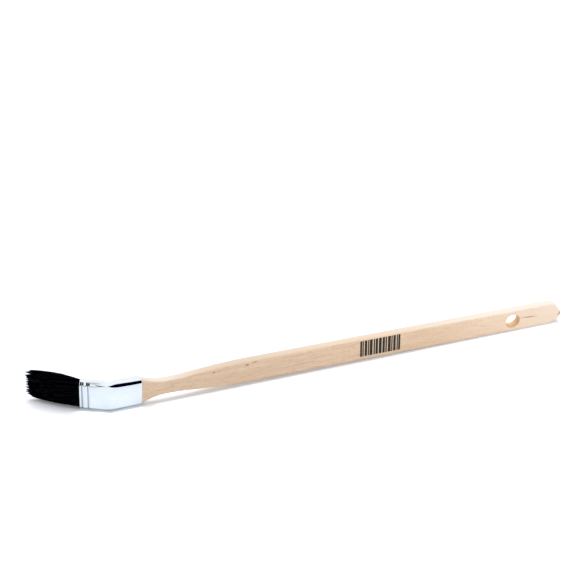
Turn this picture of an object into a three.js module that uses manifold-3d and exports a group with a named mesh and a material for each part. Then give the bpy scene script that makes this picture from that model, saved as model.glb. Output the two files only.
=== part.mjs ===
// Angled radiator brush: a long flat wooden handle, a bent metal ferrule and a tuft of bristle.
// Millimetres, +Z up. The brush stands on its narrow edge, on its ferrule and the end of its handle.
import * as THREE from 'three';
import { mergeVertices } from 'three/addons/utils/BufferGeometryUtils.js';
import Module from 'manifold-3d';

const wasm = await Module();
wasm.setup();

// Clearance between neighbouring pieces
const gap = 0.3;

// Ferrule: a flattened tube of sheet metal, bent across its wide faces
const bendAngle = THREE.MathUtils.degToRad(27.3);
const ferruleFrontLength = 23.2;
const ferruleRearLength = 25.4;
const ferruleFrontWidth = 25.2;
const ferruleRearWidth = 24.3;
const ferruleThickness = 8.4;
const ferruleRadius = 3.6;
const ferruleWall = 0.3;
const pinchDepth = 2;
const pinchReach = 6;
const grooveFromRim = [1.9, 6.5];
const grooveWidth = 1.4;
const grooveDepth = 0.45;
const seamWidth = 6;
const seamStep = 0.3;

// Handle: a flat stick, measured from the rear edge of the ferrule
const handleLength = 338;
const handleThickness = 7.2;
const handleEdgeRadius = 1.3;
const neckWidth = 11.6;
const neckFromFerrule = 22;
const gripWidth = 18.6;
const gripFromFerrule = 90;
const neckEase = [0.26, 0.38];
const endWidth = 17.8;
const endLength = 12.5;
const endNoseLength = 3.5;
const endFullness = 2.6;
const endDrop = 1.6;
const holeFromEnd = 41;
const holeRadius = 5.5;
const holeRimRadius = 0.6;

// Tuft: bunches of strands set in resin, with a wooden strip in the middle
const bristleLength = 41;
const strandRadius = 0.2;
const strandRows = 5;
const strandColumns = 18;
const tuftSwell = 0.3;
const tuftFan = 0.055;
const tuftSweep = 5;
const tuftLift = 2.6;
const tipDome = 0.16;
const tipRagged = 0.05;
const strandBends = [0.55, 0.03];
const settingFromRim = 8;
const settingDepth = 4.5;
const plugDepth = 1.7;
const spacerThickness = 1.2;
const spacerFromRim = 3;

// Tacks in the back face of the ferrule
const tackHeadRadius = 1.5;
const tackHeadHeight = 0.7;
const tackShankRadius = 0.65;
const tackShankLength = 5.5;
const tackFromRear = 5;
const tackSpread = 14;

// Finishes
const wood = new THREE.MeshStandardMaterial({ color: 0xdfc4a8, roughness: 0.7, metalness: 0 });
const tin = new THREE.MeshStandardMaterial({ color: 0xe6eff6, roughness: 0.15, metalness: 1 });
const hair = new THREE.MeshStandardMaterial({ color: 0x08090d, roughness: 0.55, metalness: 0 });
const resin = new THREE.MeshStandardMaterial({ color: 0xb08a4a, roughness: 0.4, metalness: 0 });
const steel = new THREE.MeshStandardMaterial({ color: 0xc9ced3, roughness: 0.3, metalness: 1 });

// Facets of a rounded corner, a hole, a tack and the curves of the handle
const cornerSteps = 5;
const holeSides = 32;
const tackSides = 12;
const flareSteps = 9;
const neckSteps = 12;
const endSteps = 8;

// Helper values that follow from the sizes above
const ferruleMiddle = ferruleThickness / 2;
const boreThickness = ferruleThickness - 2 * ferruleWall;
const fillThickness = boreThickness - 2 * gap;
const fillRadius = ferruleRadius - ferruleWall - gap;

// Width of the ferrule at a distance from the bend, positive towards the handle
function ferruleWidthAt(s) {
  const share = (s + ferruleFrontLength) / (ferruleFrontLength + ferruleRearLength);
  return THREE.MathUtils.lerp(ferruleFrontWidth, ferruleRearWidth, share);
}

// Width inside the ferrule that is left for what it holds
function fillWidthAt(s) {
  return ferruleWidthAt(s) - 2 * (ferruleWall + gap);
}

// Point of the ferrule's frame. s runs along the tube from the bend, v across it from the outer face
// of the bend, z over its width. At the bend itself the point lies on the mitre between both halves.
function framePoint(s, v, z) {
  if (s === 0) return new THREE.Vector3(v * Math.tan(bendAngle / 2), v, z);
  if (s > 0) return new THREE.Vector3(s, v, z);
  const sin = Math.sin(bendAngle);
  const cos = Math.cos(bendAngle);
  return new THREE.Vector3(s * cos + v * sin, -s * sin + v * cos, z);
}

// Rounded rectangle as [v, z] pairs. backFall is how far its back corners reach over the width.
function roundedSection(width, thickness, radius, backFall = radius) {
  const half = width / 2;
  const backRun = Math.min(radius, thickness - radius);
  const corners = [
    [thickness - backRun, half - backFall, backRun, backFall],
    [radius, half - radius, radius, radius],
    [radius, radius - half, radius, radius],
    [thickness - backRun, backFall - half, backRun, backFall],
  ];
  const points = [];
  corners.forEach(([v, z, run, fall], corner) => {
    for (let step = 0; step <= cornerSteps; step += 1) {
      const angle = (corner + step / cornerSteps) * Math.PI / 2;
      points.push([v + run * Math.cos(angle), z + fall * Math.sin(angle)]);
    }
  });
  return points;
}

// Lap of the sheet on the back of a section: a step at one edge that runs out over the lap's width
function seamPoints(thickness, step) {
  const edge = seamWidth / 2;
  return [[thickness, -edge], [thickness + step, -edge], [thickness, edge]];
}

// Index triples of the skin between two rings of vertices
function skin(index, first, second, count, inward = false) {
  for (let i = 0; i < count; i += 1) {
    const j = (i + 1) % count;
    const quad = [[first + i, first + j, second + j], [first + i, second + j, second + i]];
    for (const [a, b, c] of quad) index.push(...(inward ? [a, c, b] : [a, b, c]));
  }
}

// Closed solid through a row of rings, with flat ends
function loft(rings) {
  const count = rings[0].length;
  const index = [];
  const last = (rings.length - 1) * count;
  for (let ring = 0; ring < rings.length - 1; ring += 1) skin(index, ring * count, (ring + 1) * count, count);
  for (let i = 1; i < count - 1; i += 1) {
    index.push(0, i + 1, i);
    index.push(last, last + i, last + i + 1);
  }
  return indexed(rings.flat(), index);
}

// Open tube with a wall, between outer and inner rings
function tube(outer, inner) {
  const count = outer[0].length;
  const rings = outer.length;
  const inside = rings * count;
  const last = (rings - 1) * count;
  const index = [];
  for (let ring = 0; ring < rings - 1; ring += 1) {
    skin(index, ring * count, (ring + 1) * count, count);
    skin(index, inside + ring * count, inside + (ring + 1) * count, count, true);
  }
  skin(index, 0, inside, count, true);
  skin(index, last, inside + last, count);
  return indexed([...outer.flat(), ...inner.flat()], index);
}

function indexed(points, index) {
  const geometry = new THREE.BufferGeometry().setFromPoints(points);
  geometry.setIndex(index);
  return geometry;
}

// Solid for joining and cutting
function solid(geometry) {
  const bare = geometry.clone();
  bare.deleteAttribute('normal');
  bare.deleteAttribute('uv');
  const merged = mergeVertices(bare, 1e-4);
  const vertProperties = new Float32Array(merged.attributes.position.array);
  const triVerts = new Uint32Array(merged.index.array);
  return new wasm.Manifold(new wasm.Mesh({ numProp: 3, vertProperties, triVerts }));
}

// Named mesh of a geometry or of a finished solid
function piece(name, shape, material) {
  let geometry = shape;
  if (shape instanceof wasm.Manifold) {
    const mesh = shape.getMesh();
    geometry = new THREE.BufferGeometry();
    geometry.setAttribute('position', new THREE.BufferAttribute(new Float32Array(mesh.vertProperties), 3));
    geometry.setIndex(Array.from(mesh.triVerts));
  }
  geometry.computeVertexNormals();
  const part = new THREE.Mesh(geometry, material);
  part.name = name;
  return part;
}

// Body of revolution about the thickness direction, from [radius, height] pairs
function turned(profile, segments) {
  const points = profile.map(([radius, height]) => new THREE.Vector2(radius, height));
  return new THREE.LatheGeometry(points, segments);
}

// Share of the pinch at a distance from the bend
function pinchAt(s) {
  return Math.max(0, 1 - Math.abs(s) / pinchReach) ** 2;
}

// Depth of the pressed grooves at a distance from the bend: half a cosine wave each
function grooveAt(s) {
  const offsets = grooveFromRim.map((rim) => Math.abs(s + ferruleFrontLength - rim) / (grooveWidth / 2));
  const nearest = Math.min(...offsets);
  return nearest < 1 ? grooveDepth * (1 + Math.cos(Math.PI * nearest)) / 2 : 0;
}

function ferruleStations() {
  const stations = [-ferruleFrontLength, ferruleRearLength, 0];
  for (const share of [0.3, 0.6, 1]) stations.push(share * pinchReach, -share * pinchReach);
  for (const rim of grooveFromRim) {
    const middle = rim - ferruleFrontLength;
    for (const share of [-0.5, -0.25, 0, 0.25, 0.5]) stations.push(middle + share * grooveWidth);
  }
  return stations.sort((a, b) => a - b);
}

// Ring of the ferrule at a station, drawn in from its outer skin
function ferruleRing(s, inset, lap) {
  const sink = inset + grooveAt(s);
  const pinch = pinchDepth * pinchAt(s);
  const width = ferruleWidthAt(s) - 2 * sink;
  const thickness = ferruleThickness - pinch - 2 * sink;
  const radius = ferruleRadius - sink;
  const ring = [...roundedSection(width, thickness, radius, radius + pinch), ...seamPoints(thickness, lap)];
  return ring.map(([v, z]) => framePoint(s, v + sink, z));
}

function ferrule() {
  const stations = ferruleStations();
  const outer = stations.map((s) => ferruleRing(s, 0, seamStep));
  const inner = stations.map((s) => ferruleRing(s, ferruleWall, 0));
  let body = solid(tube(outer, inner));
  for (const z of tackPlaces()) body = body.subtract(solid(tackBore(z)));
  return piece('ferrule', body, tin);
}

// Widths of the handle's outline: the flare and the neck are one curve each
const headWidth = fillWidthAt(ferruleRearLength);
const flareCurve = new THREE.QuadraticBezierCurve(
  new THREE.Vector2(0, headWidth),
  new THREE.Vector2(neckFromFerrule / 2, neckWidth),
  new THREE.Vector2(neckFromFerrule, neckWidth),
);
const neckRun = gripFromFerrule - neckFromFerrule;
const neckCurve = new THREE.CubicBezierCurve(
  new THREE.Vector2(neckFromFerrule, neckWidth),
  new THREE.Vector2(neckFromFerrule + neckEase[0] * neckRun, neckWidth),
  new THREE.Vector2(neckFromFerrule + neckEase[1] * neckRun, gripWidth),
  new THREE.Vector2(gripFromFerrule, gripWidth),
);

// Outline stations of the handle as [place, width, thickness, edge radius]. The tang fills the ferrule.
// The end narrows to a blunt point, which sits below the middle: its stations have a drop as well.
function handleStations() {
  const tangStart = pinchReach + gap - ferruleRearLength;
  const stations = [[tangStart, headWidth, fillThickness, fillRadius]];
  flareCurve.getPoints(flareSteps).forEach(({ x, y }) => {
    const share = x / neckFromFerrule;
    const thickness = THREE.MathUtils.lerp(fillThickness, handleThickness, share);
    stations.push([x, y, thickness, THREE.MathUtils.lerp(fillRadius, handleEdgeRadius, share)]);
  });
  neckCurve.getPoints(neckSteps).slice(1).forEach(({ x, y }) => {
    stations.push([x, y, handleThickness, handleEdgeRadius]);
  });
  for (let step = 0; step <= endSteps; step += 1) {
    const share = Math.sin(step / (endSteps + 1) * Math.PI / 2);
    const toTip = endLength * (1 - share);
    const nose = Math.min(1, toTip / endNoseLength);
    const width = endWidth * (1 - share ** endFullness);
    const thickness = handleThickness * Math.sqrt(1 - (1 - nose) ** 2);
    const radius = Math.min(handleEdgeRadius, thickness / 2, width / 2);
    stations.push([handleLength - toTip, width, thickness, radius, endDrop * share ** 2]);
  }
  return stations;
}

// Bore of the hang hole with rounded rims, turned about the handle's thickness
function hangBore() {
  const half = handleThickness / 2;
  const rim = [];
  for (let step = 0; step <= cornerSteps; step += 1) {
    const angle = step / cornerSteps * Math.PI / 2;
    const radius = holeRadius + holeRimRadius * (1 - Math.sin(angle));
    rim.push([radius, half - holeRimRadius * (1 - Math.cos(angle))]);
  }
  const upper = [[0, 2 * half], [holeRadius + holeRimRadius, 2 * half], ...rim];
  const lower = upper.map(([radius, height]) => [radius, -height]);
  const bore = turned([...lower, ...upper.reverse()], holeSides);
  return bore.translate(ferruleRearLength + handleLength - holeFromEnd, ferruleMiddle, 0);
}

function handle() {
  const rings = handleStations().map(([place, width, thickness, radius, drop = 0]) => {
    const ring = roundedSection(width, thickness, radius);
    const start = ferruleMiddle - thickness / 2;
    return ring.map(([v, z]) => new THREE.Vector3(ferruleRearLength + place, start + v, z - drop));
  });
  let body = solid(loft(rings)).subtract(solid(hangBore()));
  for (const z of tackPlaces()) body = body.subtract(solid(tackBore(z)));
  return piece('handle', body, wood);
}

function tackPlaces() {
  return [tackSpread / 2, -tackSpread / 2];
}

// Places what is turned about the thickness direction on the back of the ferrule, head outwards
function onBack(geometry, z) {
  return geometry.translate(ferruleRearLength - tackFromRear, ferruleThickness, z);
}

// Clearance for a tack through the ferrule's back and into the wood
function tackBore(z) {
  const radius = tackShankRadius + gap;
  const depth = tackShankLength + gap;
  return onBack(turned([[0, -depth], [radius, -depth], [radius, depth], [0, depth]], tackSides), z);
}

function tack(name, z) {
  const head = [];
  for (let step = 0; step <= cornerSteps; step += 1) {
    const angle = step / cornerSteps * Math.PI / 2;
    head.push([tackHeadRadius * Math.cos(angle), gap + tackHeadHeight * Math.sin(angle)]);
  }
  const point = 2 * tackShankRadius;
  const shank = [[0, -tackShankLength], [tackShankRadius, point - tackShankLength], [tackShankRadius, gap]];
  return piece(name, onBack(turned([...shank, ...head], tackSides), z), steel);
}

// Outline of the filling of the ferrule as a loft between two depths behind the front rim
function filling(fromRim, depth) {
  const rings = [fromRim + depth, fromRim].map((behind) => {
    const s = behind - ferruleFrontLength;
    const ring = roundedSection(fillWidthAt(s), fillThickness, fillRadius);
    return ring.map(([v, z]) => framePoint(s, v + ferruleWall + gap, z));
  });
  return loft(rings.reverse());
}

// Box in the frame of the ferrule's front half
function headBox(sRange, [front, back], [low, high]) {
  const corners = [[back, high], [front, high], [front, low], [back, low]];
  return loft(sRange.map((s) => corners.map(([v, z]) => framePoint(s, v, z))));
}

function settingResin() {
  return piece('setting_resin', filling(settingFromRim + settingDepth + gap, plugDepth), resin);
}

function spacerStrip() {
  const rear = settingFromRim + settingDepth;
  const half = fillWidthAt(rear - ferruleFrontLength) / 2 - fillRadius;
  const sRange = [spacerFromRim - ferruleFrontLength, rear - ferruleFrontLength];
  const vRange = [ferruleMiddle - spacerThickness / 2, ferruleMiddle + spacerThickness / 2];
  return piece('spacer_strip', headBox(sRange, vRange, [-half, half]), wood);
}

// Repeatable scatter between -1 and 1 for a strand's number
function scatter(number) {
  const wave = Math.sin(number * 12.9898) * 43758.5453;
  return 2 * (wave - Math.floor(wave)) - 1;
}

// Point of a strand. reach is 0 at the ferrule's rim and 1 at the tip of the longest strands:
// the tuft swells, fans out, sweeps on around the bend and lifts.
function strandPoint(v, z, reach) {
  const past = Math.max(0, reach);
  const swell = 1 + tuftSwell * Math.sin(Math.PI * past) - tuftSwell * past ** 2;
  const turn = Math.PI * Math.min(1, past);
  const fan = 1 + tuftFan * (Math.sin(turn / 2) + Math.sin(turn));
  const across = ferruleMiddle + (v - ferruleMiddle) * swell + tuftSweep * past;
  return framePoint(-ferruleFrontLength - reach * bristleLength, across, z * fan + tuftLift * past);
}

// One strand with three sides, from its point at the tip to its root in the setting
function strand(v, z, tipReach) {
  const rootReach = -(settingFromRim + settingDepth / 2) / bristleLength;
  const reaches = [...strandBends.map((share) => share * tipReach), rootReach];
  const points = [strandPoint(v, z, tipReach)];
  reaches.forEach((reach) => {
    for (let side = 0; side < 3; side += 1) {
      const angle = side * 2 * Math.PI / 3;
      points.push(strandPoint(v + strandRadius * Math.cos(angle), z + strandRadius * Math.sin(angle), reach));
    }
  });
  const index = [];
  for (let side = 0; side < 3; side += 1) index.push(0, 1 + (side + 1) % 3, 1 + side);
  for (let ring = 0; ring < 2; ring += 1) skin(index, 1 + 3 * ring, 4 + 3 * ring, 3);
  index.push(7, 8, 9);
  return { points, index };
}

// One quarter of the tuft: a slice of the setting with its strands fused to it
function bunch(name, back, upper, seed) {
  const rear = settingFromRim + settingDepth - ferruleFrontLength;
  const halfWidth = fillWidthAt(rear) / 2;
  const halfThickness = fillThickness / 2;
  const vSide = back ? 1 : -1;
  const zSide = upper ? 1 : -1;
  const innerV = spacerThickness / 2 + gap;
  const ranges = [
    [ferruleMiddle + vSide * innerV, ferruleMiddle + vSide * ferruleThickness],
    [zSide * gap / 2, zSide * ferruleFrontWidth],
  ].map((range) => range.sort((a, b) => a - b));
  const block = headBox([-2 * ferruleFrontLength, -gap], ...ranges);
  const slice = solid(filling(settingFromRim, settingDepth)).intersect(solid(block));

  const edge = gap / 2 + strandRadius;
  const outerV = halfThickness - grooveDepth - strandRadius;
  const outerZ = halfWidth - grooveDepth - strandRadius;
  const cornerRadius = fillRadius - grooveDepth - strandRadius;
  const points = [];
  const index = [];
  let number = seed;
  for (let row = 0; row < strandRows; row += 1) {
    for (let column = 0; column < strandColumns; column += 1) {
      const v = THREE.MathUtils.lerp(innerV + strandRadius, outerV, row / (strandRows - 1));
      const z = THREE.MathUtils.lerp(edge, outerZ, (column + 0.5 * (row % 2)) / (strandColumns - 0.5));
      const intoCorner = [v - (outerV - cornerRadius), z - (outerZ - cornerRadius)];
      number += 1;
      if (Math.min(...intoCorner) > 0 && Math.hypot(...intoCorner) > cornerRadius) continue;
      const dome = tipDome * (z / outerZ) ** 6 + 0.3 * tipDome * (v / outerV) ** 2;
      const tipReach = 1 - dome + tipRagged * scatter(number);
      const one = strand(ferruleMiddle + vSide * v, zSide * z, tipReach);
      const first = points.length;
      points.push(...one.points);
      index.push(...one.index.map((i) => i + first));
    }
  }
  return piece(name, slice.add(solid(indexed(points, index))), hair);
}

const brush = new THREE.Group();
brush.add(
  handle(),
  ferrule(),
  settingResin(),
  spacerStrip(),
  bunch('bristles_front_upper', false, true, 0),
  bunch('bristles_front_lower', false, false, 1000),
  bunch('bristles_back_upper', true, true, 2000),
  bunch('bristles_back_lower', true, false, 3000),
  tack('ferrule_tack_upper', tackSpread / 2),
  tack('ferrule_tack_lower', -tackSpread / 2),
);

// Lean of the brush on the floor: from the front rim of the ferrule to the end of the handle's edge
const rimPlace = framePoint(-ferruleFrontLength, ferruleMiddle, 0).x;
const restPlace = ferruleRearLength + handleLength - endLength;
brush.rotation.y = Math.atan2((ferruleFrontWidth - endWidth) / 2, restPlace - rimPlace);

// The origin is the middle of the brush's outline on the floor
const group = new THREE.Group();
group.add(brush);
const box = new THREE.Box3().setFromObject(group, true);
const middle = box.getCenter(new THREE.Vector3());
brush.position.set(-middle.x, -middle.y, -box.min.z);

export default group;
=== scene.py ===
# Angled radiator brush: bare wood handle, bent tin ferrule, black bristle tuft
import math

import bpy
import numpy as np
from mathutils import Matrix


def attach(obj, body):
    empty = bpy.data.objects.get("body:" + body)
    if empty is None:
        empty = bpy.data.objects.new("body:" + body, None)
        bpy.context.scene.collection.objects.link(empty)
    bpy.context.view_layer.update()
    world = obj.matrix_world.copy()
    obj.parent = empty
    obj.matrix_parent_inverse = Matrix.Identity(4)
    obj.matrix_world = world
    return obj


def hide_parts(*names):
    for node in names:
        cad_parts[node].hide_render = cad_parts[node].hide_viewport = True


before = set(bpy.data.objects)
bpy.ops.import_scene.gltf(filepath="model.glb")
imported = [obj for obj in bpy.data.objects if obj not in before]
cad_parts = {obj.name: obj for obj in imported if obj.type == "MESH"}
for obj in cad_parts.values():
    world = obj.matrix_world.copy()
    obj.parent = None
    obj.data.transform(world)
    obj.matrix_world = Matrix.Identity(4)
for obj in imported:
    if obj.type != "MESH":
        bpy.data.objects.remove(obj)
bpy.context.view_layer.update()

dice = np.random.default_rng(23)
print("frame loaded with", len(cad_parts), "solids")

# The brush is worked out in its own millimetres: x from the bend towards the hang hole, y from the outer
# face of the bend to the back, z over the width. Then it leans on its ferrule and the end of its handle.
stand = {"lean": 0.0100108, "move": (-154.4232, -19.6670, 12.4150)}
metre = 0.001

# what several pieces share: the turn of the head, and the ferrule's rear edge, thickness and middle
shared = {"turn": math.radians(27.3), "rear": 25.4, "thickness": 8.4}
shared["middle"] = shared["thickness"] / 2


def onFloor(points):
    # turn about y by the lean, move, then millimetres to metres
    cos, sin = math.cos(stand["lean"]), math.sin(stand["lean"])
    x, y, z = np.moveaxis(np.asarray(points, float), -1, 0)
    return (np.stack([x * cos + z * sin, y, z * cos - x * sin], -1) + stand["move"]) * metre


def between(start, end, share):
    # the value that is a share of the way from the start to the end
    return start + (end - start) * share


def gridFaces(index, closeRows=False, closeColumns=False):
    # quads between the neighbours of a grid of vertex numbers
    if closeRows:
        index = np.concatenate([index, index[:1]], 0)
    if closeColumns:
        index = np.concatenate([index, index[:, :1]], 1)
    quads = [index[:-1, :-1], index[1:, :-1], index[1:, 1:], index[:-1, 1:]]
    return np.stack(quads, -1).reshape(-1, 4)


def outward(points, faceSets):
    # signed volume of the fans of all faces: turns every face round if it comes out negative
    volume = 0.0
    for faces in faceSets:
        first = points[faces[:, 0]]
        for corner in range(1, faces.shape[1] - 1):
            fan = np.cross(points[faces[:, corner]], points[faces[:, corner + 1]])
            volume += np.einsum("ij,ij->i", first, fan).sum()
    return faceSets if volume > 0 else [faces[:, ::-1] for faces in faceSets]


def makePiece(name, points, faceSets, material, stands=(), stage=False):
    # a smooth mesh from points and sets of faces, one set for each number of corners, with its slot and the
    # CAD solids that it stands for
    points = points.reshape(-1, 3)
    if not stage:
        faceSets = outward(points - points.mean(0), faceSets)
    corners = np.concatenate([faces.ravel() for faces in faceSets])
    sizes = np.concatenate([np.full(len(faces), faces.shape[1]) for faces in faceSets])
    mesh = bpy.data.meshes.new(name)
    mesh.vertices.add(len(points))
    mesh.vertices.foreach_set("co", points.astype(np.float32).ravel())
    mesh.loops.add(len(corners))
    mesh.loops.foreach_set("vertex_index", corners.astype(np.int32))
    mesh.polygons.add(len(sizes))
    mesh.polygons.foreach_set("loop_start", (np.cumsum(sizes) - sizes).astype(np.int32))
    mesh.polygons.foreach_set("use_smooth", np.ones(len(sizes), bool))
    mesh.update(calc_edges=True)
    mesh.materials.append(material)
    made = bpy.data.objects.new(name, mesh)
    bpy.context.scene.collection.objects.link(made)
    if stage:
        return made
    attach(made, "root")
    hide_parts(*stands)
    print("piece", name, len(sizes), "faces")
    return made


def setAttribute(made, name, values):
    # one number a vertex, for the material to read
    made.data.attributes.new(name, "FLOAT", "POINT").data.foreach_set("value", values)


# the photograph's camera, eye in metres and angles in degrees
shot = {"lens": 184.656, "sensor": 36.0, "eye": (-0.60697, -1.73873, 1.31189),
        "down": 34.141, "turn": 19.049, "clip": (0.05, 50)}
lens = bpy.data.cameras.new("shot")
lens.sensor_fit = "HORIZONTAL"
lens.sensor_width = shot["sensor"]
lens.lens = shot["lens"]
lens.clip_start, lens.clip_end = shot["clip"]
camera = bpy.data.objects.new("shot", lens)
camera.location = shot["eye"]
camera.rotation_euler = (math.radians(90 - shot["down"]), 0, -math.radians(shot["turn"]))
bpy.context.scene.collection.objects.link(camera)
bpy.context.scene.camera = camera
bpy.context.scene.view_settings.view_transform = "Standard"


def freshMaterial(name):
    material = bpy.data.materials.new(name)
    material.use_nodes = True
    tree = material.node_tree
    tree.nodes.clear()
    out = tree.nodes.new("ShaderNodeOutputMaterial")
    return material, tree, out


def addNode(tree, kind, inputs=None, **settings):
    made = tree.nodes.new(kind)
    for key, value in settings.items():
        setattr(made, key, value)
    for key, value in (inputs or {}).items():
        if isinstance(value, bpy.types.NodeSocket):
            tree.links.new(value, made.inputs[key])
        else:
            made.inputs[key].default_value = value
    return made


def maths(tree, operation, a, b=0.0, clamp=False):
    return addNode(tree, "ShaderNodeMath", {0: a, 1: b}, operation=operation, use_clamp=clamp).outputs[0]


def remap(tree, value, low, high, toLow=0.0, toHigh=1.0):
    inputs = {"Value": value, "From Min": low, "From Max": high, "To Min": toLow, "To Max": toHigh}
    return addNode(tree, "ShaderNodeMapRange", inputs, interpolation_type="SMOOTHSTEP").outputs[0]


def mixColour(tree, share, a, b):
    # a colour mix has its share in socket 0, its colours in 6 and 7 and its result in 2
    made = addNode(tree, "ShaderNodeMix", data_type="RGBA")
    for socket, value in ((made.inputs[0], share), (made.inputs[6], a), (made.inputs[7], b)):
        if isinstance(value, bpy.types.NodeSocket):
            tree.links.new(value, socket)
        else:
            socket.default_value = value
    return made.outputs[2]


def coated(material, tree, out, surface):
    shader = addNode(tree, "ShaderNodeBsdfPrincipled", surface)
    tree.links.new(shader.outputs[0], out.inputs["Surface"])
    return material


def brushCoordinates(tree):
    # Object coordinates turned back into the brush's own frame, in metres
    place = addNode(tree, "ShaderNodeTexCoord").outputs["Object"]
    back = {"Location": [metre * m for m in stand["move"]], "Rotation": (0, stand["lean"], 0)}
    return addNode(tree, "ShaderNodeMapping", {"Vector": place, **back}, vector_type="TEXTURE").outputs[0]


def stretchedNoise(tree, place, scale, detail=4.0, roughness=0.55, distortion=0.0):
    # cloud noise with its own scale along each axis, in waves a metre
    stretched = addNode(tree, "ShaderNodeMapping", {"Vector": place, "Scale": scale}).outputs[0]
    inputs = {"Vector": stretched, "Scale": 1.0, "Detail": detail, "Roughness": roughness}
    return addNode(tree, "ShaderNodeTexNoise", {**inputs, "Distortion": distortion}).outputs[0]


def spot(tree, place, centre, reach, turn=(0, 0, 0), soft=1.0):
    # 1 in the middle of a turned ellipsoid, falling to 0 at its skin; centre and reach in millimetres
    shape = {"Location": [metre * m for m in centre], "Rotation": turn, "Scale": [metre * m for m in reach]}
    inside = addNode(tree, "ShaderNodeMapping", {"Vector": place, **shape}, vector_type="TEXTURE").outputs[0]
    length = addNode(tree, "ShaderNodeVectorMath", {0: inside}, operation="LENGTH").outputs["Value"]
    return remap(tree, length, 1.0, 1.0 - soft)


# floor, surroundings and lamps; the floor's extra shares are for the lens and for mirror images. A fill has
# power, place, target and size. A glow is the light that a bright front face throws on the floor, and has
# power, place, sideways turn and size.
studio = {
    "floor": 0.82, "floorSeen": 0.42, "floorMirrored": 0.01, "floorTint": (0.975, 1.0, 1.035),
    "floorHalf": 6.0, "sky": 0.31,
    "keyPower": 2.29, "keyColour": (0.96, 0.985, 1.0), "keyFrom": (0.06, 0.30, 0.95), "keySpread": 50,
    "fills": {"front_fill": (3.2, (-0.10, -1.20, 0.70), (0.0, 0.0, 0.01), 0.8),
              "end_fill": (0.205, (0.25, -0.28, 0.12), (0.19, -0.02, 0.01), 0.12)},
    "cards": {"black_card": ((-0.57, -0.9), (1.6, -0.9), 1.3),
              "low_card": ((-1.6, -0.9), (-0.57, -0.9), 0.19),
              "left_card": ((-1.6, -1.25), (-1.6, 0.9), 1.3),
              "right_card": ((1.6, -0.5), (1.6, 0.9), 1.3)},
    "cardFoot": 0.05, "cardColour": (0, 0, 0.010, 1),
    "glows": {"tin_glow_front": (0.0017, (-0.1665, -0.0145, 0.012), -0.459, (0.024, 0.024)),
              "tin_glow_rear": (0.0017, (-0.1415, -0.0205, 0.012), 0.0, (0.024, 0.024)),
              "wood_glow": (0.0026, (0.0425, -0.0200, 0.0025), 0.0, (0.325, 0.004))},
}


def seenDirectly(tree):
    # 1 for a ray from the lens, then 1 for a mirrored ray or one through glass
    path = addNode(tree, "ShaderNodeLightPath").outputs
    mirrored = maths(tree, "ADD", path["Is Glossy Ray"], path["Is Transmission Ray"])
    return path["Is Camera Ray"], mirrored


def floorMaterial():
    # white paper that the lens sees a little over white, so that only the deep part of a shadow shows
    material, tree, out = freshMaterial("white_floor")
    seen, mirrored = seenDirectly(tree)
    lift = maths(tree, "MULTIPLY_ADD", seen, studio["floorSeen"])
    lift.node.inputs[2].default_value = studio["floor"]
    lift = maths(tree, "ADD", lift, maths(tree, "MULTIPLY", mirrored, studio["floorMirrored"]))
    tinted = {0: studio["floorTint"], "Scale": lift}
    colour = addNode(tree, "ShaderNodeVectorMath", tinted, operation="SCALE").outputs[0]
    paper = addNode(tree, "ShaderNodeBsdfDiffuse", {"Color": colour}).outputs[0]
    tree.links.new(paper, out.inputs["Surface"])
    return material


half = studio["floorHalf"]
floorPoints = np.array([[-half, -half, 0], [half, -half, 0], [half, half, 0], [-half, half, 0]], float)
makePiece("floor", floorPoints, [np.array([[0, 1, 2, 3]])], floorMaterial(), stage=True)

# near-black cards round the brush, seen only by its metal: where each starts and ends on the floor, and its
# top. Light that has met the floor first passes them.
cardMaterial, tree, out = freshMaterial("black_card")
black = addNode(tree, "ShaderNodeBsdfDiffuse", {"Color": studio["cardColour"]}).outputs[0]
clear = addNode(tree, "ShaderNodeBsdfTransparent").outputs[0]
passed = maths(tree, "GREATER_THAN", addNode(tree, "ShaderNodeLightPath").outputs["Diffuse Depth"], 0.5)
shader = addNode(tree, "ShaderNodeMixShader", {0: passed, 1: black, 2: clear}).outputs[0]
tree.links.new(shader, out.inputs["Surface"])
for name, (start, end, top) in studio["cards"].items():
    corners = [(*start, studio["cardFoot"]), (*end, studio["cardFoot"]), (*end, top), (*start, top)]
    card = makePiece(name, np.array(corners, float), [np.array([[0, 1, 2, 3]])], cardMaterial, stage=True)
    card.visible_camera = card.visible_diffuse = card.visible_shadow = card.visible_transmission = False

world = bpy.data.worlds.new("surroundings")
bpy.context.scene.world = world
world.use_nodes = True
tree = world.node_tree
tree.nodes.clear()
dim = addNode(tree, "ShaderNodeBackground", {"Color": (1, 1, 1, 1), "Strength": studio["sky"]}).outputs[0]
white = addNode(tree, "ShaderNodeBackground", {"Color": (1, 1, 1, 1), "Strength": 1.0}).outputs[0]
direct = maths(tree, "ADD", *seenDirectly(tree), clamp=True)
mixed = addNode(tree, "ShaderNodeMixShader", {0: direct, 1: dim, 2: white}).outputs[0]
tree.links.new(mixed, addNode(tree, "ShaderNodeOutputWorld").inputs["Surface"])


def aimed(name, kind, power, at, target):
    # a lamp that looks from its place at the target, hidden from the lens and from mirror images
    lamp = bpy.data.lights.new(name, kind)
    lamp.energy = power
    made = bpy.data.objects.new(name, lamp)
    made.location = at
    way = np.array(at, float) - np.array(target, float)
    tilt, turn = math.atan2(math.hypot(way[0], way[1]), way[2]), math.atan2(way[0], -way[1])
    made.rotation_euler = (tilt, 0, turn)
    made.visible_camera = made.visible_glossy = False
    bpy.context.scene.collection.objects.link(made)
    return lamp


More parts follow.
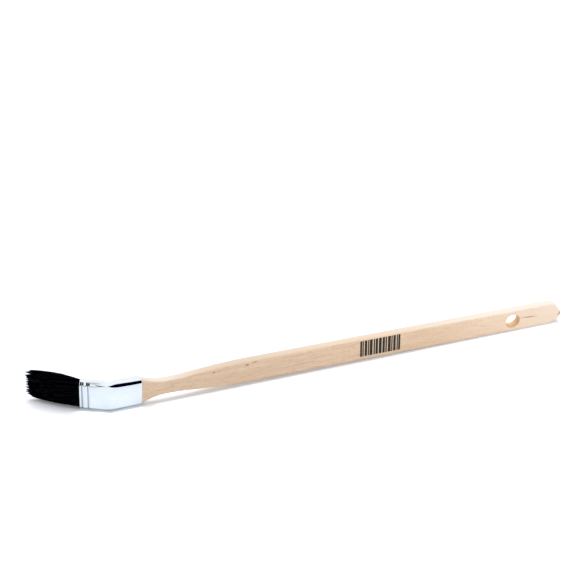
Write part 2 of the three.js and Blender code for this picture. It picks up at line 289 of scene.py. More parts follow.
key = aimed("key", "SUN", studio["keyPower"], studio["keyFrom"], (0, 0, 0))
key.angle, key.color = math.radians(studio["keySpread"]), studio["keyColour"]
for name, (power, at, target, size) in studio["fills"].items():
    fill = aimed(name, "AREA", power, at, target)
    fill.shape, fill.size = "SQUARE", size
for name, (power, at, side, size) in studio["glows"].items():
    glow = aimed(name, "AREA", power, at, (at[0] + side, at[1] - 1, at[2]))
    glow.shape = "RECTANGLE"
    glow.size, glow.size_y = size
print("studio ready")

# bare wood: colours, places and reaches of its marks in millimetres, noises with their scale along, through
# and across, detail, roughness and distortion, then the spans over which a value turns into a share
grain = {
    "pale": (0.953, 0.714, 0.511, 1), "dark": (0.868, 0.627, 0.432, 1), "fibre": (0.620, 0.400, 0.250, 1),
    "tailPaintedLight": (0.985, 0.810, 0.655, 1), "knot": (0.300, 0.080, 0.005, 1), "ink": (0.010, 0.010, 0.010, 1),
    # the narrow-side colours are painted light and shade for how the light falls on the top: paler at the
    # back and towards both ends, darker in a spot some 80 mm behind the ferrule
    "narrow": (0.818, 0.630, 0.468, 1), "narrowBackPaintedLight": (0.855, 0.740, 0.644, 1),
    "narrowShade": (0.550, 0.440, 0.370, 1), "narrowPaintedLight": (0.930, 0.900, 0.860, 1),
    "bore": (0.900, 0.640, 0.410, 1),
    "shade": ((105.0, 4.2, 9.0), (70.0, 20.0, 9.0)), "hole": ((322.4, 4.2, 0.0), (6.4, 99, 6.4)),
    "bars": {"centre": 213.6, "middle": 1.1, "length": 32.4, "height": 14.2, "depth": 2.0},
    "barWidths": (0.07, 0.04, 0.12, 0.03, 0.07, 0.05, 0.14, 0.03, 0.06, 0.04, 0.12, 0.05, 0.06, 0.02, 0.10),
    "knots": [((81.4, 0.6, 5.6), (1.6, 1.2, 0.85)), ((107.4, 0.6, 6.7), (2.4, 1.2, 1.2)),
              ((113.5, 0.6, 8.0), (3.0, 1.2, 0.6)), ((362.6, 2.4, -1.2), (4.2, 6.0, 3.4))],
    "check": ((335.8, 0.6, 1.1), (9.5, 1.2, 0.75), (0, 0.06, 0)),
    "noises": {"figure": ((14, 300, 420), 6, 0.68, 0.3), "fibres": ((70, 1100, 1300), 4, 0.65),
               "pores": ((220, 1600, 1900), 3, 0.6), "flecks": ((380, 620, 700), 3, 0.6, 0.4)},
    "tints": {"figure": (0.34, 0.70), "fibres": (0.46, 0.80, 0.0, 0.70), "pores": (0.56, 0.76, 0.0, 0.80),
              "flecks": (0.48, 0.78, 0.0, 0.45)},
    "tailPaintedLightSpan": (0.25, 0.37, 0.0, 0.8), "backPaintedLightSpan": (0.001, 0.007),
    "paintedLightSpans": ((0.19, 0.31, 0.0, 0.65), (0.075, 0.03, 0.0, 0.65)),
    "shadeShare": 0.3, "narrowShare": 0.8, "markShare": 0.9, "holeEdge": 0.06,
    "inkSpan": (0.8, 0.5, 0.8, 1.0), "rough": (0.3, 0.8, 0.52, 0.72), "poreRelief": 0.6,
    "bump": 0.12, "bumpDepth": 0.0002, "shine": 0.4,
}


def barPattern(tree, place):
    # printed block of plain bars, mirrored about its middle so that it spells nothing
    axes = addNode(tree, "ShaderNodeSeparateXYZ", {0: place}).outputs
    bars = grain["bars"]
    fromMiddle = maths(tree, "ABSOLUTE", maths(tree, "SUBTRACT", axes[0], bars["centre"] * metre))
    along = maths(tree, "DIVIDE", fromMiddle, bars["length"] / 2 * metre)
    ramp = addNode(tree, "ShaderNodeValToRGB", {"Fac": along})
    ramp.color_ramp.interpolation = "CONSTANT"
    stops = ramp.color_ramp.elements
    stops[0].color, stops[1].color = (1, 1, 1, 1), (0, 0, 0, 1)
    edges = np.cumsum(grain["barWidths"])
    stops[1].position = float(edges[0])
    for number, edge in enumerate(edges[1:]):
        tone = 1.0 - number % 2
        stops.new(float(edge)).color = (tone, tone, tone, 1)
    height = maths(tree, "ABSOLUTE", maths(tree, "SUBTRACT", axes[2], bars["middle"] * metre))
    inside = maths(tree, "LESS_THAN", height, bars["height"] / 2 * metre)
    inside = maths(tree, "MULTIPLY", inside, maths(tree, "LESS_THAN", along, 1.0))
    front = maths(tree, "LESS_THAN", axes[1], bars["depth"] * metre)
    return maths(tree, "MULTIPLY", maths(tree, "MULTIPLY", inside, front), ramp.outputs[0])


def woodMaterial(printed):
    # pale figure with fibres, pores and flecks; the handle adds painted light towards its tail, painted
    # light and shade on its narrow sides, marks and bars
    material, tree, out = freshMaterial("bare_wood_printed" if printed else "bare_wood")
    place = brushCoordinates(tree)
    noises = {name: stretchedNoise(tree, place, *values) for name, values in grain["noises"].items()}
    tints = {name: remap(tree, noises[name], *span) for name, span in grain["tints"].items()}
    colour = mixColour(tree, tints["figure"], grain["pale"], grain["dark"])
    for name in ("fibres", "pores", "flecks"):
        colour = mixColour(tree, tints[name], colour, grain["fibre"])
    if printed:
        along, across, _ = addNode(tree, "ShaderNodeSeparateXYZ", {0: place}).outputs
        # painted light: the whole handle pales towards its tail end, where more light falls
        colour = mixColour(tree, remap(tree, along, *grain["tailPaintedLightSpan"]), colour, grain["tailPaintedLight"])
        # painted light and shade on the narrow sides: their own colour, paler at the back, then a painted
        # shade spot and painted light towards both ends
        narrow = addNode(tree, "ShaderNodeAttribute", attribute_name="narrowSide").outputs["Fac"]
        toBack = remap(tree, across, *grain["backPaintedLightSpan"])
        sideLightAndShade = mixColour(tree, toBack, grain["narrow"], grain["narrowBackPaintedLight"])
        # painted shade: a darker spot on the narrow sides some 80 mm behind the ferrule
        shade = maths(tree, "MULTIPLY", spot(tree, place, *grain["shade"]), grain["shadeShare"])
        sideLightAndShade = mixColour(tree, shade, sideLightAndShade, grain["narrowShade"])
        for span in grain["paintedLightSpans"]:  # paler towards both ends
            sideLightAndShade = mixColour(tree, remap(tree, along, *span), sideLightAndShade, grain["narrowPaintedLight"])
        colour = mixColour(tree, maths(tree, "MULTIPLY", narrow, grain["narrowShare"]), colour, sideLightAndShade)
        for mark in grain["knots"] + [grain["check"]]:
            share = maths(tree, "MULTIPLY", spot(tree, place, *mark), grain["markShare"])
            colour = mixColour(tree, share, colour, grain["knot"])
        inHole = spot(tree, place, *grain["hole"], soft=grain["holeEdge"])
        colour = mixColour(tree, inHole, colour, grain["bore"])
        bars = barPattern(tree, place)
        worn = remap(tree, noises["pores"], *grain["inkSpan"])
        colour = mixColour(tree, maths(tree, "MULTIPLY", bars, worn), colour, grain["ink"])
    rough = remap(tree, noises["fibres"], *grain["rough"])
    poreHeight = maths(tree, "MULTIPLY", noises["pores"], grain["poreRelief"])
    height = maths(tree, "ADD", noises["fibres"], poreHeight)
    relief = {"Height": height, "Strength": grain["bump"], "Distance": grain["bumpDepth"]}
    bump = addNode(tree, "ShaderNodeBump", relief).outputs[0]
    surface = {"Base Color": colour, "Roughness": rough, "Normal": bump}
    return coated(material, tree, out, {**surface, "Specular IOR Level": grain["shine"]})


# bright tin, with painted shade in the grooves and a painted darker reflection on the narrow side in front
# of the bend
tinLook = {
    # the colour for the grooves is painted shade
    "pale": (0.892, 0.950, 0.988, 1), "grey": (0.852, 0.914, 0.970, 1), "groove": (0.28, 0.31, 0.38, 1),
    # a painted darker reflection on the narrow side in front of the bend, with its place and reach
    "reflectionShade": (0.50, 0.52, 0.62, 1), "reflectionShadeAt": ((-9.6, 7.0, 11.6), (8.5, 1.5, 2.4), (0, 0, -0.476)),
    "cloud": ((160, 160, 160), 3), "drawn": ((300, 300, 2400), 3), "greySpan": (0.35, 0.7),
    "rough": (0.3, 0.75, 0.04, 0.09), "bump": 0.04, "bumpDepth": 0.0001,
}


def tinMaterial():
    material, tree, out = freshMaterial("bright_tin")
    place = brushCoordinates(tree)
    cloud = stretchedNoise(tree, place, *tinLook["cloud"])
    drawn = stretchedNoise(tree, place, *tinLook["drawn"])
    colour = mixColour(tree, remap(tree, cloud, *tinLook["greySpan"]), tinLook["pale"], tinLook["grey"])
    # painted shade in the grooves, read from the mask that the ferrule carries
    grooveShade = addNode(tree, "ShaderNodeAttribute", attribute_name="grooveShade").outputs["Fac"]
    # painted darker reflection on the narrow side in front of the bend
    colour = mixColour(tree, spot(tree, place, *tinLook["reflectionShadeAt"]), colour, tinLook["reflectionShade"])
    colour = mixColour(tree, grooveShade, colour, tinLook["groove"])
    rough = remap(tree, cloud, *tinLook["rough"])
    relief = {"Height": drawn, "Strength": tinLook["bump"], "Distance": tinLook["bumpDepth"]}
    bump = addNode(tree, "ShaderNodeBump", relief).outputs[0]
    surface = {"Base Color": colour, "Roughness": rough, "Normal": bump, "Metallic": 1.0}
    return coated(material, tree, out, surface)


# black bristle, streaked along the turned head; the pale streaks are partly each strand's own tone and
# partly painted sheen
bristleLook = {
    "deep": (0.0002, 0.0002, 0.0006, 1), "pale": (0.007, 0.009, 0.018, 1), "rough": 0.42, "gloss": 0.14,
    "streak": ((40, 800, 800), 3), "streakSpan": (0.42, 0.72), "toneSpan": (0.0, 1.0, 0.3, 1.0),
}


def bristleMaterial():
    material, tree, out = freshMaterial("black_bristle")
    tone = addNode(tree, "ShaderNodeAttribute", attribute_name="strandTone").outputs["Fac"]
    turned = {"Vector": brushCoordinates(tree), "Rotation": (0, 0, shared["turn"])}
    inLine = addNode(tree, "ShaderNodeMapping", turned).outputs[0]
    streak = remap(tree, stretchedNoise(tree, inLine, *bristleLook["streak"]), *bristleLook["streakSpan"])
    share = maths(tree, "MULTIPLY", remap(tree, tone, *bristleLook["toneSpan"]), streak)
    # pale streaks: each strand's random tone, partly painted sheen
    colour = mixColour(tree, share, bristleLook["deep"], bristleLook["pale"])
    sheen = maths(tree, "MULTIPLY", share, bristleLook["gloss"])
    surface = {"Base Color": colour, "Roughness": bristleLook["rough"], "Specular IOR Level": sheen}
    return coated(material, tree, out, surface)


# resin and tacks: two tones and a roughness that drift with one noise
resinLook = {"one": (0.45, 0.26, 0.08, 1), "other": (0.32, 0.17, 0.05, 1), "cloud": (300, 300, 300),
             "span": (0.3, 0.7), "rough": (0.25, 0.45), "metallic": 0.0}
steelLook = {"one": (0.80, 0.83, 0.86, 1), "other": (0.62, 0.65, 0.69, 1), "cloud": (900, 900, 900),
             "span": (0.3, 0.7), "rough": (0.18, 0.36), "metallic": 1.0}


def cloudedMaterial(name, look):
    material, tree, out = freshMaterial(name)
    cloud = stretchedNoise(tree, brushCoordinates(tree), look["cloud"])
    colour = mixColour(tree, remap(tree, cloud, *look["span"]), look["one"], look["other"])
    rough = remap(tree, cloud, *look["span"], *look["rough"])
    surface = {"Base Color": colour, "Roughness": rough, "Metallic": look["metallic"]}
    return coated(material, tree, out, surface)


printedWood, plainWood = woodMaterial(True), woodMaterial(False)
tin, bristle = tinMaterial(), bristleMaterial()
resin, steel = cloudedMaterial("amber_resin", resinLook), cloudedMaterial("tack_steel", steelLook)
print("materials ready")

# handle: rounded rectangles carried along x, with a sleeve for the hang hole through both faces
stick = {
    "length": 338.0, "thickness": 7.2, "edge": 1.3, "tang": 19.1,
    "headWidth": 22.9, "headThickness": 7.0, "headEdge": 3.49,
    "neckWidth": 11.6, "neckAt": 22.0, "gripWidth": 18.6, "gripAt": 90.0, "neckEase": (0.26, 0.38),
    "endWidth": 17.8, "endLength": 12.5, "endFullness": 2.6, "endDrop": 1.6, "noseLength": 3.5,
    "holeFromEnd": 41.0, "holeRadius": 5.55, "holeRim": 0.6, "holePatch": 9.0,
    "flareRows": 21, "neckRows": 33, "gripRows": 24, "patchRows": 15, "tailRows": 7, "endRows": 26,
    "endStop": 0.97, "edgeLimit": 0.499, "nearShares": (0.3, 0.6, 0.85, 0.96), "rimSteps": 7, "boreSteps": 7,
    "cornerSteps": 8, "sideShares": (0.05, 0.35, 0.65, 0.95),
    "faceShares": (0.02, 0.1, 0.18, 0.26, 0.34, 0.42, 0.5, 0.58, 0.66, 0.74, 0.82, 0.9, 0.98),
}


def ringColumns(cornerSteps, sideShares, faceShares):
    # v = a (half thickness - radius) + b radius, z = c (half width - radius) + d radius, one row a column:
    # four quarter circles with the flats between them, from the back over the top to the front
    arc = np.linspace(0, np.pi / 2, cornerSteps + 1)
    side, face = 1 - 2 * np.array(sideShares), 1 - 2 * np.array(faceShares)
    flats = [(side, 0, 1, 1), (-1, -1, face, 0), (-side, 0, -1, -1), (1, 1, -face, 0)]
    parts = []
    for corner, (v, z) in enumerate(((1, 1), (-1, 1), (-1, -1), (1, -1))):
        turn = arc + corner * np.pi / 2
        for columns in ((v, np.cos(turn), z, np.sin(turn)), flats[corner]):
            parts.append(np.stack(np.broadcast_arrays(*columns), -1).reshape(-1, 4))
    return np.concatenate(parts)


def stickStations():
    # Place, width, thickness, edge radius and drop along the handle, place 0 at the ferrule's rear edge.
    # The flare narrows as a square, the neck widens along a cubic Bezier curve, the grip narrows evenly, and
    # the end closes as a power of its way.
    t = np.linspace(0, 1, stick["flareRows"])
    flare = [stick["neckAt"] * t, between(stick["neckWidth"], stick["headWidth"], (1 - t) ** 2)]
    t = np.linspace(0, 1, stick["neckRows"])[1:]
    run, (ease0, ease1) = stick["gripAt"] - stick["neckAt"], stick["neckEase"]
    bow = 3 * t * (1 - t) ** 2 * ease0 + 3 * t ** 2 * (1 - t) * ease1 + t ** 3
    widening = 3 * t ** 2 * (1 - t) + t ** 3
    neck = [stick["neckAt"] + run * bow, between(stick["neckWidth"], stick["gripWidth"], widening)]
    last, hole = stick["length"] - stick["endLength"], stick["length"] - stick["holeFromEnd"]
    patch = stick["holePatch"]
    rows = np.concatenate([np.linspace(stick["gripAt"], hole - patch, stick["gripRows"])[1:],
                           np.linspace(hole - patch, hole + patch, stick["patchRows"])[1:],
                           np.linspace(hole + patch, last, stick["tailRows"])[1:-1]])
    narrowing = (rows - stick["gripAt"]) / (last - stick["gripAt"])
    grip = [rows, between(stick["gripWidth"], stick["endWidth"], narrowing)]
    share = np.sin(np.linspace(0, stick["endStop"], stick["endRows"]) * np.pi / 2)
    closing = 1 - share ** stick["endFullness"]
    end = [stick["length"] - stick["endLength"] * (1 - share), stick["endWidth"] * closing]
    tang = [np.array([-stick["tang"], -0.5 * stick["tang"]]), np.full(2, stick["headWidth"])]
    place, width = np.concatenate([tang, flare, neck, grip, end], 1)
    blend = np.clip(place / stick["neckAt"], 0, 1)
    nose = np.clip((stick["length"] - place) / stick["noseLength"], 0, 1)
    thickness = between(stick["headThickness"], stick["thickness"], blend)
    thickness = thickness * np.sqrt(1 - (1 - nose) ** 2)
    edge = between(stick["headEdge"], stick["edge"], blend)
    drop = stick["endDrop"] * np.clip((place - last) / stick["endLength"], 0, 1) ** 2
    edge = np.minimum(edge, stick["edgeLimit"] * np.minimum(thickness, width))
    return place, width, thickness, edge, drop


def makeHandle():
    # a grid of stations by ring columns, less a patch on each face, and a second grid that lines the hole
    place, width, thickness, edge, drop = (column[:, None] for column in stickStations())
    a, b, c, d = ringColumns(stick["cornerSteps"], stick["sideShares"], stick["faceShares"]).T
    v = a * (thickness / 2 - edge) + b * edge
    z = c * (width / 2 - edge) + d * edge - drop
    points = np.stack([np.broadcast_to(shared["rear"] + place, v.shape), shared["middle"] + v, z], -1)
    rows, columns = v.shape
    index = np.arange(rows * columns).reshape(rows, columns)

    # the openings in the front and back faces are loops of the same grid, met in the same order
    hole = stick["length"] - stick["holeFromEnd"]
    first = int(np.argmin(np.abs(place[:, 0] - (hole - stick["holePatch"]))))
    last = first + stick["patchRows"] - 1
    corner = stick["cornerSteps"] + 1
    sides, faces = len(stick["sideShares"]), len(stick["faceShares"])
    frontFrom = 2 * corner + sides
    backFrom = frontFrom + faces + 2 * corner + sides
    front, back = index[:, frontFrom:frontFrom + faces], index[:, backFrom:backFrom + faces][:, ::-1]

    def loop(face):
        block = face[first:last + 1]
        return np.concatenate([block[0, :-1], block[:-1, -1], block[-1, :0:-1], block[:0:-1, 0]])

    quads = gridFaces(index, closeColumns=True)
    row, column = np.divmod(np.arange(len(quads)), columns)
    inPatch = (row >= first) & (row < last)
    inFace = (column >= frontFrom) & (column < frontFrom + faces - 1)
    inFace |= (column >= backFrom) & (column < backFrom + faces - 1)
    quads = quads[~(inPatch & inFace)]

    # sleeve: straight lines from the loop to the rim, a quarter round, the bore and the same on the back
    flat, radius, rim = points.reshape(-1, 3), stick["holeRadius"], stick["holeRim"]
    centre = np.array([shared["rear"] + hole, shared["middle"], 0.0])
    frontLoop, backLoop = loop(front), loop(back)
    away = flat[frontLoop] - centre
    angle = np.arctan2(away[:, 2], away[:, 0])
    spoke = np.stack([np.cos(angle), np.zeros_like(angle), np.sin(angle)], -1)
    outer = (away * spoke).sum(-1)
    depth = stick["thickness"] / 2
    turn = np.linspace(0, np.pi / 2, stick["rimSteps"])
    near = np.array(stick["nearShares"])[:, None]
    rounded = np.broadcast_to((radius + rim * (1 - np.sin(turn)))[:, None], (len(turn), len(outer)))
    reach = np.concatenate([between(outer, radius + rim, near), rounded])
    level = np.concatenate([np.full(len(near), depth), depth - rim * (1 - np.cos(turn))])
    bore = np.linspace(depth - rim, rim - depth, stick["boreSteps"])[1:-1]
    reach = np.concatenate([reach, np.full((len(bore), len(outer)), radius), reach[::-1]])
    level = np.concatenate([level, bore, -level[::-1]])
    sleeve = centre + reach[..., None] * spoke - level[:, None, None] * np.array([0.0, 1.0, 0.0])
    fresh = rows * columns + np.arange(sleeve[..., 0].size).reshape(sleeve.shape[:2])
    sleeveIndex = np.concatenate([frontLoop[None], fresh, backLoop[None]])
    sleeveFaces = gridFaces(sleeveIndex, closeColumns=True)
    allPoints = onFloor(np.concatenate([flat, sleeve.reshape(-1, 3)]))
    ends = [index[:1], index[-1:, ::-1]]
    made = makePiece("wood_handle", allPoints, [quads, sleeveFaces] + ends, printedWood, ["handle"])
    narrow = np.zeros(len(allPoints), np.float32)
    narrow[:rows * columns] = np.tile(d ** 2, rows)  # 1 on the narrow sides, 0 on the faces
    setAttribute(made, "narrowSide", narrow)


# ferrule: one skin that runs along the outside, round the rear rim and back along the inside. The grooves
# get painted shade from the column grooveLine, on the upper front corner, by a power of their depth.
tube = {
    "front": 22.7, "frontWidth": 25.2, "rearWidth": 24.3, "radius": 4.0, "wall": 0.3,
    "pinch": 2.0, "pinchReach": 6.0, "mitreReach": 9.0, "creaseEase": 2.0, "creaseFall": 1.5,
    "frontFall": 6.4, "frontFallReach": 18.0, "lowFall": 3.7,
    "rearFall": 6.2, "rearFallReach": 8.0, "rearTaper": 1.3, "rearRun": 1.4, "rearRunReach": 17.0,
    "grooves": (1.9, 6.5), "grooveWidth": 3.0, "grooveDepth": 0.40, "grooveLine": 25, "grooveShadePower": 4,
    "seamHalf": 3.0, "seamStep": 0.3, "seamShares": (-1.012, -1, -0.97, -0.6, 0, 0.6, 1),
    "seamRises": (0, 0.85, 1, 0.8, 0.5, 0.2, 0), "leastFlat": 0.06, "rows": 60, "creaseRows": (6.0, 41),
    "grooveRows": (0.55, 27), "rowGap": 0.04, "cornerSteps": 12, "sideShares": (0.05, 0.3, 0.7, 0.95),
    "faceShares": (0.01, 0.1, 0.3, 0.5, 0.7, 0.9, 0.99),
}


def bentPoint(s, v, z):
    # s along the tube from the bend, v in from the outer face. The rows near the bend spread from the mitre,
    # and the crease is eased: past it each leg runs out as a square of the way through the eased length.
    slide = v * math.tan(shared["turn"] / 2) * np.clip(1 - np.abs(s) / tube["mitreReach"], 0, None)
    sin, cos, ease = math.sin(shared["turn"]), math.cos(shared["turn"]), tube["creaseEase"]
    way = np.clip((s + ease) / (2 * ease), 0, 1)
    rear = np.where(s > ease, s, ease * way ** 2)
    head = np.where(s < -ease, s, -ease * (1 - way) ** 2)
    mitre = v * math.tan(shared["turn"] / 2)
    onRear = np.where(s > 0, slide, mitre)
    onHead = np.where(s > 0, mitre, slide)
    x = rear + onRear + (head - onHead) * cos + v * sin - mitre
    y = v * cos - (head - onHead) * sin
    return np.stack(np.broadcast_arrays(x, y, z), -1)


def grooveShare(s):
    # 0 on the flat and 1 at the bottom of a groove, with a cosine between them
    away = np.min(np.abs(s[..., None] + tube["front"] - np.array(tube["grooves"])), -1)
    return (1 + np.cos(np.pi * np.clip(2 * away / tube["grooveWidth"], 0, 1))) / 2


def ferruleRows(s, inset, lap):
    # rounded rectangles with elliptic corners, each with a run along v and a fall along z. The upper front
    # corner is sharp at the crease and grows tall away from it, the back corners grow with the pinch there,
    # and the lap seam rises from the back face.
    s, inset = s[:, None], inset[:, None]
    sink = inset + tube["grooveDepth"] * grooveShare(s)
    pinch = tube["pinch"] * np.clip(1 - np.abs(s) / tube["pinchReach"], 0, None) ** 2
    share = (s + tube["front"]) / (tube["front"] + shared["rear"])
    high = between(tube["frontWidth"], tube["rearWidth"], share) / 2 - sink
    deep = shared["thickness"] - pinch - 2 * sink
    near = np.clip(np.where(s > 0, s / tube["rearFallReach"], -s / tube["frontFallReach"]), 0, 1)
    far = np.where(s > 0, tube["rearFall"], tube["frontFall"]) - tube["creaseFall"]
    growth = np.where(s > 0, near * (2 - near), near ** 2 * (3 - 2 * near))
    fall = tube["creaseFall"] + far * growth - inset
    fall = fall - tube["rearTaper"] * np.clip(s / shared["rear"], 0, 1)
    low = tube["lowFall"] - sink
    run = tube["radius"] - sink
    highRun = run + tube["rearRun"] * np.clip(s / tube["rearRunReach"], 0, 1)
    backFall = run + pinch
    backRun = np.minimum(run, deep - run - tube["leastFlat"])  # the narrow sides keep a thin flat
    highBack = np.minimum(run, deep - highRun - tube["leastFlat"])
    arc = np.linspace(0, np.pi / 2, tube["cornerSteps"] + 1)
    sin, cos = np.sin(arc), np.cos(arc)
    side, face = np.array(tube["sideShares"]), np.array(tube["faceShares"])
    vHigh = deep - highBack + (highRun - deep + highBack) * side
    vLow = deep - backRun + (run - deep + backRun) * side
    zFace = high - fall + (low + fall - 2 * high) * face
    seam = tube["seamHalf"] * np.array(tube["seamShares"])
    rise = lap * np.array(tube["seamRises"])
    zSeam = np.broadcast_to(seam, (len(s), len(seam)))
    v = [deep - highBack + highBack * cos, vHigh, highRun - highRun * sin, np.zeros_like(zFace),
         run - run * cos, vLow[:, ::-1], deep - backRun + backRun * sin, deep + rise]
    z = [high - backFall + backFall * sin, high + 0 * vHigh, high - fall + fall * cos, zFace,
         low - high - low * sin, -high + 0 * vLow, backFall - high - backFall * cos, zSeam]
    return bentPoint(s, np.concatenate(v, 1) + sink, np.concatenate(z, 1))


def makeFerrule():
    # rows of one ring each, closer over the crease and the grooves, with a rim half a wall beyond each end
    lip = tube["wall"] / 2
    crease, creaseCount = tube["creaseRows"]
    groove, grooveCount = tube["grooveRows"]
    inGroove = np.linspace(-groove, groove, grooveCount) * tube["grooveWidth"]
    fine = [np.linspace(lip - tube["front"], shared["rear"] - lip, tube["rows"])]
    fine += [np.linspace(-crease, crease, creaseCount)]
    fine += [place - tube["front"] + inGroove for place in tube["grooves"]]
    s = np.unique(np.round(np.concatenate(fine), 3))
    s = s[np.concatenate([[True], np.diff(s) > tube["rowGap"]])]
    outer = ferruleRows(s, np.zeros(len(s)), tube["seamStep"])
    rearRim = ferruleRows(np.array([shared["rear"]]), np.array([lip]), tube["seamStep"] / 2)
    inner = ferruleRows(s[::-1], np.full(len(s), tube["wall"]), 0.0)
    frontRim = ferruleRows(np.array([-tube["front"]]), np.array([lip]), tube["seamStep"] / 2)
    points = onFloor(np.concatenate([outer, rearRim, inner, frontRim]))
    index = np.arange(points[..., 0].size).reshape(points.shape[:2])
    made = makePiece("tin_ferrule", points, [gridFaces(index, True, True)], tin, ["ferrule"])
    # painted shade in the grooves, strongest at their bottoms
    grooveShade = np.zeros(points.shape[:2], np.float32)
    grooveShade[:len(s), tube["grooveLine"]:] = grooveShare(s)[:, None] ** tube["grooveShadePower"]
    setAttribute(made, "grooveShade", grooveShade.ravel())


# tuft: thin tapered strands in four bunches, gathered into locks near the tip. Sizes in millimetres, but the
# domes and the ragged, lock and stray lengths are shares of the tuft's length.
tuft = {
    "strands": 1500, "rings": 7, "sides": 3, "rootRadius": 0.13, "tipRadius": 0.035,
    "length": 41.9, "setting": 10.0, "halfThickness": 3.2, "halfWidth": 11.4, "corner": 2.6,
    "swell": 0.30, "chisel": 0.70, "chiselPower": 3.0, "fan": (0.053, 0.052), "sweep": 5.0, "curve": 0.85,
    "lift": 1.27, "liftPace": 1.6, "domes": {"upper": (0.10, 6), "lower": (0.14, 4.5)}, "ragged": 0.030,
    "wander": 0.35, "locks": 7, "leastLock": 0.4, "heart": 0.5, "outerHeart": 0.75, "inward": 0.8,
    "gather": 0.95, "loose": 0.25, "late": 6.0, "lockLength": 0.022, "lockDrift": 0.4, "lockBlur": 0.03,
    "strays": 0.08, "strayLength": 0.03, "spare": 4, "ringPace": 0.9,
}


def strandLine(v, z, reach):
    # reach 0 at the rim and 1 at the tip: the tuft swells and thins to a chisel, fans out, sweeps on round
    # the bend and lifts
    past = np.clip(reach, 0, None)
    swell = 1 + tuft["swell"] * np.sin(np.pi * past) - tuft["chisel"] * past ** tuft["chiselPower"]
    turn = np.pi * np.clip(past, 0, 1)
    fan = 1 + tuft["fan"][0] * np.sin(turn / 2) + tuft["fan"][1] * np.sin(turn)
    lift = tuft["lift"] * np.sin(np.pi / 2 * np.clip(tuft["liftPace"] * past, 0, 1))
    return v * swell + tuft["sweep"] * past ** tuft["curve"], z * fan + lift


def makeBunch(name, back, upper, edges, locks):
    # Each strand starts at a random seed in its quarter of the rounded rim, wanders by a sine and is drawn
    # into its lock by a late power of its reach. Rings of shrinking radius along that line make its skin.
    count, rings, sides = tuft["strands"], tuft["rings"], tuft["sides"]
    quarter = np.array([tuft["halfThickness"], tuft["halfWidth"]])
    seeds = dice.random((tuft["spare"] * count, 2)) * quarter
    corner = np.clip(seeds - (quarter - tuft["corner"]), 0, None)
    seeds = seeds[np.hypot(*corner.T) < tuft["corner"]][:count]
    v, z = seeds[:, 0], seeds[:, 1]
    high = z / tuft["halfWidth"]
    mine = np.searchsorted(edges[1:-1], high + tuft["lockBlur"] * (dice.random(count) - 0.5))
    heart = np.where(mine == tuft["locks"] - 1, tuft["outerHeart"], tuft["heart"])
    heart = between(edges[mine], edges[mine + 1], heart)
    hold = tuft["gather"] * (1 - tuft["loose"] * dice.random(count))
    toLock = hold[:, None] * np.stack([-tuft["inward"] * v, heart * tuft["halfWidth"] - z], -1)
    drift = locks[mine, :2] * tuft["lockDrift"]
    domeDepth, domePower = tuft["domes"]["upper" if upper else "lower"]
    dome = domeDepth * high ** domePower
    stray = tuft["strayLength"] * (dice.random(count) < tuft["strays"])
    tip = 1 - dome + tuft["lockLength"] * locks[mine, 2] - 2 * tuft["ragged"] * dice.random(count) + stray
    root = -tuft["setting"] / tuft["length"]
    share = np.linspace(0, 1, rings) ** tuft["ringPace"]
    reach = between(root, tip[:, None], share)
    late = np.clip(reach, 0, None) ** tuft["late"]
    wave = dice.random((count, 4)) * 2 - 1
    wobble = np.sin(np.pi * np.clip(reach, 0, None)[..., None] * (1 + wave[:, None, 2:]))
    side = np.array([1 if back else -1, 1 if upper else -1])
    start = seeds[:, None] + late[..., None] * (toLock + drift)[:, None]
    start = start * side + tuft["wander"] * wave[:, None, :2] * wobble
    vLine, zLine = strandLine(start[..., 0], start[..., 1], reach)
    radius = between(tuft["tipRadius"], tuft["rootRadius"], np.sqrt(1 - share))
    around = np.arange(sides) * 2 * np.pi / sides
    vRing = shared["middle"] + vLine[..., None] + radius[:, None] * np.cos(around)
    zRing = zLine[..., None] + radius[:, None] * np.sin(around)
    along = -tube["front"] - reach[..., None] * tuft["length"] + 0 * vRing
    sin, cos = math.sin(shared["turn"]), math.cos(shared["turn"])
    points = onFloor(np.stack([along * cos + vRing * sin, vRing * cos - along * sin, zRing], -1))
    index = np.arange(count * rings * sides).reshape(count, rings, sides)
    ring = np.concatenate([index, index[..., :1]], -1)
    quads = [ring[:, :-1, :-1], ring[:, 1:, :-1], ring[:, 1:, 1:], ring[:, :-1, 1:]]
    quads = np.stack(quads, -1).reshape(-1, 4)
    caps = np.concatenate([index[:, 0], index[:, -1, ::-1]])
    made = makePiece(name, points, [quads, caps], bristle, [name.replace("tuft", "bristles")])
    tone = np.repeat(dice.random(count), rings * sides).astype(np.float32)
    setAttribute(made, "strandTone", tone)


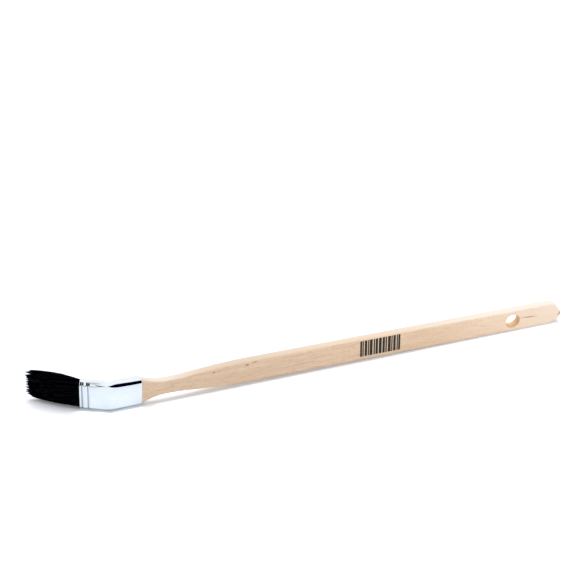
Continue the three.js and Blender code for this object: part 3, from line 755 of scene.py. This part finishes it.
# tacks: a profile turned about the thickness of the ferrule, on its back face
tackSize = {"fromRear": 5.0, "spread": 14.0, "head": 1.5, "rise": 0.7, "shank": 0.65, "depth": 5.5,
            "lift": 0.3, "sides": 32, "domeSteps": 11, "point": 0.02, "lipIn": 0.08, "lipDown": 0.02}


def makeTack(name, z):
    # from the point up the shank, out under the head and over its quarter ellipse, turned round the axis
    arc = np.linspace(0, np.pi / 2, tackSize["domeSteps"])[:-1]
    shank, lift, point = tackSize["shank"], tackSize["lift"], tackSize["point"]
    lip = tackSize["head"] - tackSize["lipIn"]
    radius = np.concatenate([[point, shank, shank, lip], tackSize["head"] * np.cos(arc), [point]])
    below = [-tackSize["depth"], 2 * shank - tackSize["depth"], lift, lift - tackSize["lipDown"]]
    level = np.concatenate([below, lift + tackSize["rise"] * np.sin(arc), [lift + tackSize["rise"]]])
    around = np.arange(tackSize["sides"]) * 2 * np.pi / tackSize["sides"]
    x = shared["rear"] - tackSize["fromRear"] + radius[:, None] * np.cos(around)
    y = shared["thickness"] + np.broadcast_to(level[:, None], x.shape)
    points = onFloor(np.stack([x, y, z + radius[:, None] * np.sin(around)], -1))
    index = np.arange(x.size).reshape(x.shape)
    faceSets = [gridFaces(index, closeColumns=True), index[:1], index[-1:, ::-1]]
    makePiece(name, points, faceSets, steel, [name.replace("steel", "ferrule")])


makeHandle()
makeFerrule()
for heightName, upper in (("upper", True), ("lower", False)):
    # share of the height where each lock of hair ends, then its drift and length, front and back alike
    edges = np.concatenate([[0], np.cumsum(tuft["leastLock"] + dice.random(tuft["locks"]))])
    locks = dice.random((tuft["locks"], 3)) * 2 - 1
    makeBunch("tuft_front_" + heightName, False, upper, edges / edges[-1], locks)
    makeBunch("tuft_back_" + heightName, True, upper, edges / edges[-1], locks)
makeTack("steel_tack_upper", tackSize["spread"] / 2)
makeTack("steel_tack_lower", -tackSize["spread"] / 2)
for node, look in (("setting_resin", resin), ("spacer_strip", plainWood)):
    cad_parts[node].data.materials.clear()
    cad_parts[node].data.materials.append(look)

bpy.context.view_layer.update()
print("brush finished")
